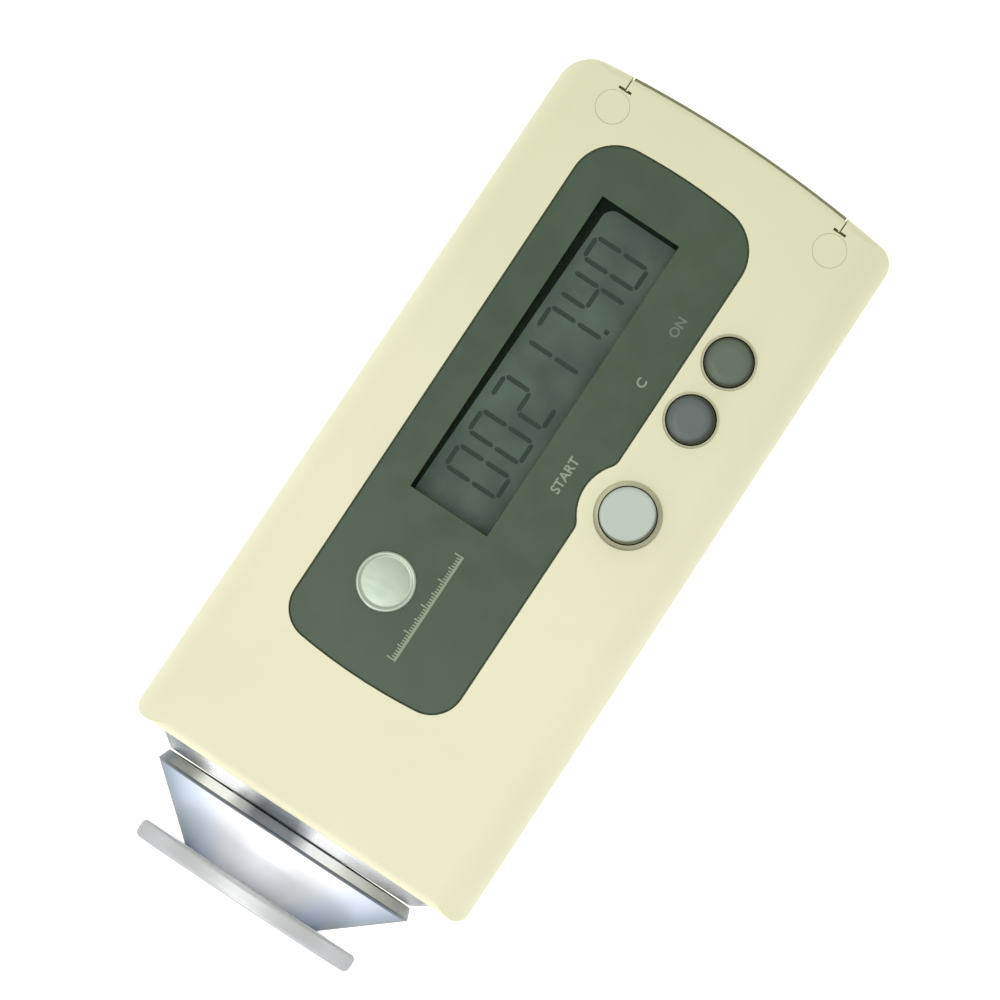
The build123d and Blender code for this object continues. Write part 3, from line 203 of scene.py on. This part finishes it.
class Finish:
    """A material under construction: one Principled shader fed by procedural textures in metres."""

    def __init__(self, name, colour, roughness, metallic=0.0):
        self.material = bpy.data.materials.new(name)
        self.material.use_nodes = True
        self.tree = self.material.node_tree
        self.shader = self.tree.nodes["Principled BSDF"]
        self.shader.inputs["Base Color"].default_value = colour
        self.shader.inputs["Roughness"].default_value = roughness
        self.shader.inputs["Metallic"].default_value = metallic
        self.place = self.add("ShaderNodeTexCoord").outputs["Object"]
        self.colour = None

    def add(self, kind, **settings):
        """New node with the given properties."""
        node = self.tree.nodes.new(kind)
        for key, value in settings.items():
            setattr(node, key, value)
        return node

    def link(self, source, target):
        """Joins two sockets."""
        self.tree.links.new(source, target)

    def noise(self, scale, detail=3.0, stretch=(1, 1, 1)):
        """Noise value, with scale in cycles per metre."""
        mapping = self.add("ShaderNodeMapping")
        mapping.inputs["Scale"].default_value = stretch
        self.link(self.place, mapping.inputs["Vector"])
        texture = self.add("ShaderNodeTexNoise")
        texture.inputs["Scale"].default_value = scale
        texture.inputs["Detail"].default_value = detail
        self.link(mapping.outputs["Vector"], texture.inputs["Vector"])
        return texture.outputs["Fac"]

    def math(self, operation, first, second=0.0):
        """Result of a Math node on sockets or numbers."""
        node = self.add("ShaderNodeMath", operation=operation)
        for socket, value in zip(node.inputs, (first, second)):
            if isinstance(value, (int, float)):
                socket.default_value = value
            else:
                self.link(value, socket)
        return node.outputs[0]

    def fade(self, value, start, end, low=0.0, high=1.0):
        """Smooth change from low at start to high at end."""
        node = self.add("ShaderNodeMapRange", interpolation_type="SMOOTHSTEP")
        for socket, number in zip(list(node.inputs)[1:5], (start, end, low, high)):
            socket.default_value = number
        self.link(value, node.inputs["Value"])
        return node.outputs["Result"]

    def from_centre(self, centre):
        """Plan vector from a point."""
        flat = self.add("ShaderNodeVectorMath", operation="MULTIPLY_ADD")
        flat.inputs[1].default_value = (1, 1, 0)
        flat.inputs[2].default_value = (-centre[0], -centre[1], 0)
        self.link(self.place, flat.inputs[0])
        return flat.outputs[0]

    def radius(self, centre):
        """Plan distance from a point."""
        length = self.add("ShaderNodeVectorMath", operation="LENGTH")
        self.link(self.from_centre(centre), length.inputs[0])
        return length.outputs["Value"]

    def along(self, centre, direction):
        """Plan distance from a point in one direction."""
        product = self.add("ShaderNodeVectorMath", operation="DOT_PRODUCT")
        product.inputs[1].default_value = (*direction, 0)
        self.link(self.from_centre(centre), product.inputs[0])
        return product.outputs["Value"]

    def ramp(self, value, stops):
        """Colour from a value, by (position, colour) stops."""
        node = self.add("ShaderNodeValToRGB")
        band = node.color_ramp
        while len(band.elements) < len(stops):
            band.elements.new(0.5)
        for element, (position, colour) in zip(band.elements, stops):
            element.position = position
            element.color = colour
        self.link(value, node.inputs["Fac"])
        return node.outputs["Color"]

    def paint(self, colour):
        """Makes a colour socket the base colour."""
        self.colour = colour
        self.link(colour, self.shader.inputs["Base Color"])
        return self

    def mottle(self, low, high, scale):
        """Gentle colour variation."""
        return self.paint(self.ramp(self.noise(scale), list(zip(MOTTLE_RANGE, (low, high)))))

    def overlay(self, mask):
        """Mix of the base colour and a second colour, which shows where the mask is 1."""
        mix = self.add("ShaderNodeMix", data_type="RGBA")
        self.link(mask, mix.inputs["Factor"])
        self.link(self.colour, mix.inputs["A"])
        return mix

    def tint(self, mask, colour):
        """Lays a colour over the base colour where the mask is 1."""
        mix = self.overlay(mask)
        mix.inputs["B"].default_value = colour
        return self.paint(mix.outputs["Result"])

    def coordinate(self, axis):
        """Position along X, Y or Z."""
        split = self.add("ShaderNodeSeparateXYZ")
        self.link(self.place, split.inputs["Vector"])
        return split.outputs[axis]

    def above(self, height):
        """Mask that is 1 above a height."""
        return self.math("GREATER_THAN", self.coordinate("Z"), height)

    def within(self, centre, size, bottom):
        """Mask that is 1 above bottom, inside an upright column of rectangular section."""
        mask = self.above(bottom)
        for axis, middle, length in zip("XY", centre, size):
            offset = self.math("ABSOLUTE", self.math("SUBTRACT", self.coordinate(axis), middle))
            mask = self.math("MULTIPLY", mask, self.math("LESS_THAN", offset, length / 2))
        return mask

    def uneven(self, low, high, scale, stretch=(1, 1, 1)):
        """Roughness that varies over the surface."""
        spread = self.fade(self.noise(scale, 4.0, stretch), *UNEVEN_RANGE, low, high)
        self.link(spread, self.shader.inputs["Roughness"])
        return self

    def bump(self, height, strength, distance):
        """Surface relief from a height socket, with distance in metres."""
        node = self.add("ShaderNodeBump")
        node.inputs["Strength"].default_value = strength
        node.inputs["Distance"].default_value = distance
        self.link(height, node.inputs["Height"])
        self.link(node.outputs["Normal"], self.shader.inputs["Normal"])
        return self

    def grain(self, scale, strength, distance):
        """Relief of fine noise."""
        return self.bump(self.noise(scale, 2.0), strength, distance)

    def facing(self, stops):
        """Painted reflection and shade: base colour from how far the surface turns away from the eye, 0 face
        on and 1 edge on.
        """
        weight = self.add("ShaderNodeLayerWeight")
        weight.inputs["Blend"].default_value = 0.5
        return self.paint(self.ramp(weight.outputs["Facing"], stops))

    def turned_marks(self, strength):
        """Fine rings left by a lathe, round the wheel's axis."""
        wave = self.add("ShaderNodeTexWave", wave_type="BANDS", bands_direction="X")
        wave.inputs["Scale"].default_value = TURNED_SCALE
        wave.inputs["Distortion"].default_value = 0.6
        wave.inputs["Detail"].default_value = 2.0
        self.link(self.place, wave.inputs["Vector"])
        return self.bump(wave.outputs["Fac"], strength, TURNED_RELIEF)


def moulded(name, colour, roughness, relief=0.06):
    """Fine-grained moulded plastic, as a Finish."""
    finish = Finish(name, colour, roughness)
    finish.mottle(shaded(colour, 0.975), shaded(colour, 1.02), 45)
    finish.uneven(roughness - 0.05, roughness + 0.06, 260)
    return finish.grain(5200, relief, PLASTIC_GRAIN)


def metal(name, colour, roughness, marks=0.0):
    """Metal with slight unevenness, and lathe rings where marks is above zero, as a Finish."""
    finish = Finish(name, colour, roughness, metallic=1.0)
    finish.mottle(shaded(colour, 0.96), shaded(colour, 1.02), 120)
    finish.uneven(max(0.02, roughness - 0.04), roughness + 0.05, 420, (3, 1, 1))
    if marks:
        finish.turned_marks(marks)
    return finish


def lip_shade(finish):
    """Mask of the narrow step between the battery door and the lip of the face."""
    from_bow_centre = finish.radius((CASE_RIGHT - BOW_RADIUS, 0))
    step = finish.fade(from_bow_centre, BOW_RADIUS - LIP_SHADE_START, BOW_RADIUS - LIP_SHADE_FULL)
    offset = finish.math("ABSOLUTE", finish.along((0, 0), (0, 1)))
    between = finish.math("LESS_THAN", offset, LIP_HALF_WIDTH)
    return finish.math("MULTIPLY", finish.math("MULTIPLY", step, finish.above(LIP_LOW)), between)


def case_material():
    """Cream plastic with painted shade: darker far from the wheel, in the walls of the display's opening and
    round the keys.
    """
    finish = moulded("case_plastic", srgb(229, 227, 193), 0.5, 0.10)
    # Painted shade: the face darkens towards the far end, as the light falls away from it
    painted_dark = finish.fade(finish.along((0, 0), (1, 0)), FAR_SHADE_START, FAR_SHADE_END, 0.0, FAR_SHADE_DEPTH)
    finish.tint(painted_dark, srgb(212, 213, 175))
    # Painted shade: the walls of the display's opening are darkened, as in the shadow under the window
    opening = [length + OPENING_SPARE for length in LCD_VISIBLE]
    finish.tint(finish.within(LCD_CENTRE, opening, OPENING_BOTTOM), srgb(30, 38, 32))
    # Painted shadows of the key caps, as crescents on one side of each dish
    key_shadow_colour = srgb(150, 152, 118)
    for centre, shadow in ((MAIN_KEY, MAIN_KEY_SHADOW), (LEFT_KEY, LEFT_KEY_SHADOW), (RIGHT_KEY, RIGHT_KEY_SHADOW)):
        inner, outer, direction, depth = shadow
        ring = finish.fade(finish.radius(centre), inner, outer, 1.0, 0.0)
        start, full = (share * inner for share in KEY_SHADOW_SIDE)
        side = finish.fade(finish.along(centre, direction), start, full, 0.0, depth)
        finish.tint(finish.math("MULTIPLY", ring, side), key_shadow_colour)
    return finish.tint(lip_shade(finish), srgb(150, 150, 122)).material


def key_material(name, colour, rim, centre, shift, inner, outer):
    """Satin key cap with painted shade: darker towards its rim and most of all on the side away from shift.
    """
    finish = moulded(name, colour, 0.42)
    place = (centre[0] + shift[0], centre[1] + shift[1])
    return finish.tint(finish.fade(finish.radius(place), inner, outer), rim).material


def window_material():
    """Dark printed acrylic, clear over the display cell."""
    colour = srgb(62, 80, 57)
    finish = Finish("window_acrylic", colour, 0.2)
    finish.mottle(shaded(colour, 0.93), shaded(colour, 1.07), 60)
    finish.uneven(0.12, 0.24, 300)
    see = finish.add("ShaderNodeBsdfTransparent")
    see.inputs["Color"].default_value = (0.86, 0.9, 0.86, 1)
    mix = finish.add("ShaderNodeMixShader")
    finish.link(finish.within(LCD_CENTRE, LCD_VISIBLE, OPENING_BOTTOM), mix.inputs["Fac"])
    finish.link(finish.shader.outputs[0], mix.inputs[1])
    finish.link(see.outputs[0], mix.inputs[2])
    finish.link(mix.outputs[0], finish.tree.nodes["Material Output"].inputs["Surface"])
    return finish.material


def plating_reflections(finish):
    """Colour of bright plating with painted reflections in light and dark patches across the width of the
    case.
    """
    bright = srgb(244, 246, 247)
    painted_dark = srgb(134, 139, 144)
    blue = srgb(68, 84, 96)
    waver = finish.math("MULTIPLY", finish.noise(260, 2.0), REFLECTION_WAVER)
    across = finish.math("ADD", finish.along((0, 0), (0, 1)), waver)
    place = finish.math("DIVIDE", finish.math("ADD", across, REFLECTION_START), REFLECTION_SPAN)
    return finish.ramp(
        place,
        [
            (0.0, blue),
            (0.12, shaded(bright, 0.4)),
            (0.26, shaded(bright, 0.75)),
            (0.33, bright),
            (0.43, bright),
            (0.5, painted_dark),
            (0.63, shaded(painted_dark, 0.8)),
            (0.69, shaded(bright, 0.6)),
            (0.73, bright),
            (0.82, bright),
            (0.88, shaded(bright, 0.35)),
            (0.96, blue),
        ],
    )


def cone_material():
    """Polished cone of the hub with painted reflection and shade: white face on, bluish and then dark where
    it turns away, with painted reflections and a painted shade line at its lip.
    """
    finish = Finish("polished_cone", srgb(250, 252, 255), CONE_ROUGHNESS, metallic=1.0)
    finish.facing(
        [
            (0.3, srgb(254, 254, 255)),
            (0.42, srgb(252, 253, 255)),
            (0.54, srgb(206, 214, 228)),
            (0.76, srgb(138, 152, 168)),
            (1.0, srgb(50, 64, 74)),
        ]
    )
    from_lip = finish.along((CONE_LIP_X, 0), (1, 0))
    # Painted reflections of the plating on the cone, from its lip towards the case
    behind = finish.overlay(finish.math("GREATER_THAN", from_lip, 0.0))
    finish.link(plating_reflections(finish), behind.inputs["B"])
    finish.paint(behind.outputs["Result"])
    # Painted shade: a dark line along the lip
    shade_line = finish.fade(finish.math("ABSOLUTE", from_lip), *CONE_LIP_SHADE, 0.9, 0.0)
    finish.tint(shade_line, srgb(60, 70, 80))
    for socket, cone, lip in (
        ("Metallic", 1.0, LIP_METALLIC),
        ("Roughness", CONE_ROUGHNESS, LIP_ROUGHNESS),
    ):
        change = finish.fade(from_lip, -CONE_LIP_BLEND, CONE_LIP_BLEND, cone, lip)
        finish.link(change, finish.shader.inputs[socket])
    return finish.material


def rim_material():
    """Turned rim of the disc with painted shade, a little darker where it turns away, with a polished inner
    face.
    """
    finish = Finish("rim_metal", srgb(226, 229, 230), RIM_ROUGHNESS, metallic=0.8)
    # Painted shade by how far the rim turns from the eye
    finish.facing([(0.0, srgb(212, 215, 214)), (0.5, srgb(176, 179, 181)), (1.0, srgb(134, 138, 142))])
    from_inner_face = finish.along((DISC_INNER_X, 0), (1, 0))
    finish.tint(finish.fade(from_inner_face, *DISC_INNER_BLEND), srgb(250, 251, 252))
    polish = finish.fade(from_inner_face, *DISC_INNER_BLEND, RIM_ROUGHNESS, DISC_FACE_ROUGHNESS)
    finish.link(polish, finish.shader.inputs["Roughness"])
    return finish.turned_marks(0.1).material


def collar_material():
    """Bright plated collar with painted reflections in light and dark patches."""
    finish = Finish("collar_plating", srgb(244, 246, 247), 0.3, metallic=0.5)
    finish.paint(plating_reflections(finish))
    return finish.uneven(0.24, 0.36, 420, (3, 1, 1)).material


def lcd_material():
    """Reflective display cell: a bluish grey field with a fine brushed rear reflector."""
    colour = srgb(104, 113, 110)
    finish = Finish("lcd_field", colour, 0.4)
    finish.mottle(shaded(colour, 0.8), shaded(colour, 1.2), 150)
    finish.uneven(0.3, 0.45, 900)
    return finish.grain(7000, 0.05, 0.01 * MM).material


def board_material():
    """Green solder resist with the faint relief of copper tracks."""
    finish = Finish("board_resist", srgb(28, 92, 46), 0.35)
    finish.mottle(srgb(22, 80, 38), srgb(36, 104, 54), 900)
    bricks = finish.add("ShaderNodeTexBrick")
    bricks.inputs["Scale"].default_value = 320
    bricks.inputs["Mortar Size"].default_value = 0.04
    finish.link(finish.place, bricks.inputs["Vector"])
    return finish.bump(bricks.outputs["Fac"], 0.3, 0.03 * MM).material


def floor_material():
    """Plain pale paper that glows a little, so that the floor stays white under the object."""
    finish = Finish("backdrop_paper", srgb(252, 252, 252), 0.9)
    finish.grain(900, 0.03, 0.05 * MM)
    finish.shader.inputs["Specular IOR Level"].default_value = 0.2
    finish.shader.inputs["Emission Color"].default_value = (1, 1, 1, 1)
    finish.shader.inputs["Emission Strength"].default_value = FLOOR_GLOW
    return finish.material


def make_materials():
    """Every finish of the object by name."""
    # Painted shade for the rims of the key caps
    main_rim_shade = srgb(84, 86, 62)
    small_rim_shade = srgb(40, 46, 32)
    greenish = srgb(90, 103, 84)
    return {
        "case": case_material(),
        "window": window_material(),
        "main_key": key_material("light_key_plastic", srgb(186, 196, 183), main_rim_shade, MAIN_KEY, *MAIN_CAP_SHADE),
        "left_key": key_material("bluish_key_plastic", srgb(93, 102, 100), small_rim_shade, LEFT_KEY, *LEFT_CAP_SHADE),
        "right_key": key_material("greenish_key_plastic", greenish, small_rim_shade, RIGHT_KEY, *RIGHT_CAP_SHADE),
        "cone": cone_material(),
        "collar": collar_material(),
        "rim": rim_material(),
        "polished": metal("polished_metal", srgb(226, 229, 233), 0.13, 0.12).material,
        "steel": metal("turned_steel", srgb(170, 172, 176), 0.28, 0.2).material,
        "ground": metal("ground_steel", srgb(205, 207, 210), 0.12).material,
        "brass": metal("turned_brass", srgb(200, 168, 96), 0.28, 0.2).material,
        "nickel": metal("nickel_plate", srgb(206, 202, 194), 0.2).material,
        "board": board_material(),
        "black": moulded("black_plastic", srgb(34, 34, 36), 0.45).material,
        "rubber": moulded("grey_rubber", srgb(120, 84, 80), 0.7, 0.2).material,
        "lcd": lcd_material(),
        "wrap": moulded("battery_wrap", srgb(58, 64, 74), 0.3).material,
        "cage": moulded("cage_plastic", srgb(196, 176, 124), 0.5).material,
    }


NODE_FINISH = {
    "case": "front_cover rear_cover screw_plugs battery_door",
    "window": "display_window",
    "main_key": "main_button",
    "left_key": "left_small_button",
    "right_key": "right_small_button",
    "cone": "wheel_hub",
    "collar": "bearing_collar",
    "rim": "wheel_disc",
    "polished": "hub_washer",
    "steel": "hub_screw front_screws rear_screws board_screws door_hinge_pin spindle bearing_spacer crystal",
    "ground": "bearing_outer_rings bearing_inner_rings bearing_balls",
    "cage": "bearing_cages",
    "brass": "collar_nut encoder_hub encoder_clamp header_pins",
    "nickel": "battery_positive_terminal battery_negative_terminal contact_socket contact_stud",
    "board": "main_board contact_board",
    "wrap": "battery_block",
    "rubber": "zebra_strips",
    "lcd": "lcd_glass",
    "black": "lcd_frame controller_chip capacitors regulator switch_bodies main_plunger"
    " left_small_plunger right_small_plunger photo_interrupter encoder_disc",
}


def dress_nodes(finishes):
    """Gives every CAD node its finish."""
    for finish, names in NODE_FINISH.items():
        for name in names.split():
            for slot in nodes[name].material_slots:
                slot.material = finishes[finish]


def finished_piece(name, mesh, material):
    """Object from a mesh, that rides on the case."""
    mesh.materials.clear()
    mesh.materials.append(material)
    piece = bpy.data.objects.new(name, mesh)
    bpy.context.collection.objects.link(piece)
    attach(piece, "case")
    return piece


def thin_mesh(name, outlines, base_z, thickness, material):
    """Flat print or segment set: closed plates from plan outlines, standing on base_z."""
    mesh = bpy.data.meshes.new(name)
    plates = bmesh.new()
    for outline in outlines:
        face = plates.faces.new([plates.verts.new((x, y, base_z)) for x, y in outline])
        raised = bmesh.ops.extrude_face_region(plates, geom=[face])
        top = [v for v in raised["geom"] if isinstance(v, bmesh.types.BMVert)]
        bmesh.ops.translate(plates, verts=top, vec=(0, 0, thickness))
    bmesh.ops.recalc_face_normals(plates, faces=plates.faces)
    plates.to_mesh(mesh)
    plates.free()
    return finished_piece(name, mesh, material)


def rectangle(left, bottom, width, height):
    """Plan outline of a rectangle."""
    return [(left, bottom), (left + width, bottom), (left + width, bottom + height), (left, bottom + height)]


def segment_outlines(letter, left, bottom):
    """Plan outlines of one seven-segment digit."""
    half = DIGIT_STROKE / 2
    right = left + DIGIT_WIDTH - half
    low = bottom + half
    high = bottom + DIGIT_HEIGHT - half
    middle = (low + high) / 2
    left += half
    ends = {
        "a": ((left, high), (right, high)),
        "g": ((left, middle), (right, middle)),
        "d": ((left, low), (right, low)),
        "f": ((left, middle), (left, high)),
        "b": ((right, middle), (right, high)),
        "e": ((left, low), (left, middle)),
        "c": ((right, low), (right, middle)),
    }
    outlines = []
    for segment in SEGMENTS[letter]:
        first, last = (Vector(point) for point in ends[segment])
        along = (last - first).normalized()
        across = Vector((-along.y, along.x)) * half
        start = first + along * DIGIT_GAP
        end = last - along * DIGIT_GAP
        near = start + along * half
        far = end - along * half
        outlines.append([start, near - across, far - across, end, far + across, near + across])
    return outlines


def display_digits(material):
    """Row of seven-segment digits on the display cell."""
    columns = len(DISPLAY_TEXT.replace(".", ""))
    left = LCD_CENTRE[0] - DIGIT_PITCH * columns / 2 + (DIGIT_PITCH - DIGIT_WIDTH) / 2
    bottom = LCD_CENTRE[1] - DIGIT_HEIGHT / 2 - DIGIT_DROP
    outlines = []
    for letter in DISPLAY_TEXT:
        if letter == ".":
            dot = left - (DIGIT_PITCH - DIGIT_WIDTH + DIGIT_STROKE) / 2
            outlines.append(rectangle(dot, bottom, DIGIT_STROKE, DIGIT_STROKE))
        else:
            outlines += segment_outlines(letter, left, bottom)
            left += DIGIT_PITCH
    thin_mesh("display_digits", outlines, LCD_TOP, PRINT_THICKNESS, material)


def display_shadow_sheet(material):
    """Painted shadow on the display cell: a black sheet along its right and along its top, where it narrows
    to the left.
    """
    left = LCD_CENTRE[0] - LCD_VISIBLE[0] / 2
    right = LCD_CENTRE[0] + LCD_VISIBLE[0] / 2
    bottom = LCD_CENTRE[1] - LCD_VISIBLE[1] / 2
    top = LCD_CENTRE[1] + LCD_VISIBLE[1] / 2
    inner_right = right - DISPLAY_SHADOW_RIGHT
    bend_centre = Vector((inner_right - DISPLAY_SHADOW_CORNER, top - DISPLAY_SHADOW_TOP - DISPLAY_SHADOW_CORNER))
    turns = [math.radians(90 * step / DISPLAY_SHADOW_CORNER_STEPS) for step in range(DISPLAY_SHADOW_CORNER_STEPS + 1)]
    bend = [bend_centre + DISPLAY_SHADOW_CORNER * Vector((math.cos(turn), math.sin(turn))) for turn in turns]
    outline = [(left, top - DISPLAY_SHADOW_LEFT), (left, top), (right, top), (right, bottom), (inner_right, bottom)]
    thin_mesh("display_shadow_sheet", [outline + bend], LCD_TOP, 2 * PRINT_THICKNESS, material)


def badge(material):
    """Plain round badge with a raised rim and a low dome."""
    mesh = bpy.data.meshes.new("window_badge")
    dome = bmesh.new()
    points = [dome.verts.new((r * BADGE_RADIUS, 0, z * BADGE_HEIGHT)) for r, z in BADGE_PROFILE]
    edges = [dome.edges.new(pair) for pair in zip(points, points[1:])]
    profile = points + edges
    bmesh.ops.spin(dome, geom=profile, axis=(0, 0, 1), cent=(0, 0, 0), angle=math.tau, steps=BADGE_STEPS)
    bmesh.ops.remove_doubles(dome, verts=dome.verts, dist=1e-6)
    bmesh.ops.recalc_face_normals(dome, faces=dome.faces)
    dome.to_mesh(mesh)
    dome.free()
    mesh.transform(Matrix.Translation((*BADGE_CENTRE, WINDOW_TOP)))
    mesh.shade_smooth()
    finished_piece("window_badge", mesh, material)


def tick_scale(material):
    """Plain scale printed under the badge: a base line with short, half and long ticks."""
    left = SCALE_CENTRE[0] - SCALE_LENGTH / 2
    bottom = SCALE_CENTRE[1] - SCALE_DROP
    outlines = [rectangle(left, bottom, SCALE_LENGTH, SCALE_LINE)]
    for step in range(SCALE_TICKS + 1):
        height = TICK_LONG if step % 10 == 0 else TICK_HALF if step % 5 == 0 else TICK_SHORT
        x = left + (SCALE_LENGTH - TICK_WIDTH) * step / SCALE_TICKS
        outlines.append(rectangle(x, bottom + SCALE_LINE, TICK_WIDTH, height - SCALE_LINE))
    thin_mesh("window_scale", outlines, WINDOW_TOP, PRINT_THICKNESS, material)


def printed_text(name, words, centre, height, material):
    """Words printed on the window, as a closed thin mesh."""
    curve = bpy.data.curves.new(name, "FONT")
    curve.body = words
    curve.align_x = "CENTER"
    curve.align_y = "CENTER"
    curve.size = height / CAPITAL_SHARE
    curve.extrude = PRINT_THICKNESS / 2
    curve.offset = LABEL_SPREAD
    draft = bpy.data.objects.new(name + "_draft", curve)
    bpy.context.collection.objects.link(draft)
    bpy.context.view_layer.update()
    mesh = bpy.data.meshes.new_from_object(draft)
    bpy.data.objects.remove(draft)
    mesh.transform(Matrix.Translation((*centre, WINDOW_TOP + PRINT_THICKNESS / 2)))
    finished_piece(name, mesh, material)


def window_prints():
    """Badge, tick scale and short generic labels on the window."""
    badge(metal("badge_silver", srgb(178, 192, 173), 0.4).material)
    print_ink = moulded("faded_print", srgb(136, 150, 126), 0.5).material
    pale_ink = moulded("pale_print", srgb(104, 119, 98), 0.5).material
    tick_scale(print_ink)
    printed_text("start_label", "START", START_LABEL, LABEL_HEIGHT, print_ink)
    printed_text("clear_label", "C", CLEAR_LABEL, LABEL_HEIGHT, print_ink)
    printed_text("power_label", "ON", POWER_LABEL, LABEL_HEIGHT, pale_ink)


def floor():
    """Plain pale floor under the object."""
    bpy.ops.mesh.primitive_plane_add(size=FLOOR_SIZE, location=(0, 0, 0))
    plane = bpy.context.object
    plane.name = "floor"
    plane.data.materials.append(floor_material())


def lamp(name, direction, distance, size, power):
    """Square soft light that shines on the object from a direction."""
    data = bpy.data.lights.new(name, "AREA")
    data.size = size
    data.energy = power
    holder = bpy.data.objects.new(name, data)
    bpy.context.collection.objects.link(holder)
    holder.location = direction.normalized() * distance
    holder.rotation_euler = direction.to_track_quat("Z", "Y").to_euler()


def lights():
    """Bright even surroundings, one wide soft light above the wheel end and a low one on the wheel."""
    world = bpy.data.worlds.new("studio")
    bpy.context.scene.world = world
    world.use_nodes = True
    background = world.node_tree.nodes["Background"]
    background.inputs["Color"].default_value = (1, 1, 1, 1)
    background.inputs["Strength"].default_value = WORLD_STRENGTH
    lamp("key_light", KEY_DIRECTION, KEY_DISTANCE, KEY_SIZE, KEY_POWER)
    lamp("wheel_light", WHEEL_LIGHT_DIRECTION, WHEEL_LIGHT_DISTANCE, WHEEL_LIGHT_SIZE, WHEEL_LIGHT_POWER)


def camera():
    """Long lens far above the face."""
    data = bpy.data.cameras.new("camera")
    data.sensor_width = SENSOR_WIDTH
    data.lens = SENSOR_WIDTH * (CAMERA_HEIGHT - TRUE_SCALE_HEIGHT) / VIEW_WIDTH
    holder = bpy.data.objects.new("camera", data)
    bpy.context.collection.objects.link(holder)
    holder.location = (*CAMERA_TARGET, CAMERA_HEIGHT)
    holder.rotation_euler = (0, 0, CAMERA_TURN)
    bpy.context.scene.camera = holder


dress_nodes(make_materials())
display_digits(moulded("display_segment", srgb(58, 67, 64), 0.4).material)
display_shadow_sheet(Finish("display_shadow_black", srgb(22, 30, 24), 0.9).material)
window_prints()
floor()
lights()
camera()
bpy.context.scene.view_settings.view_transform = "Standard"
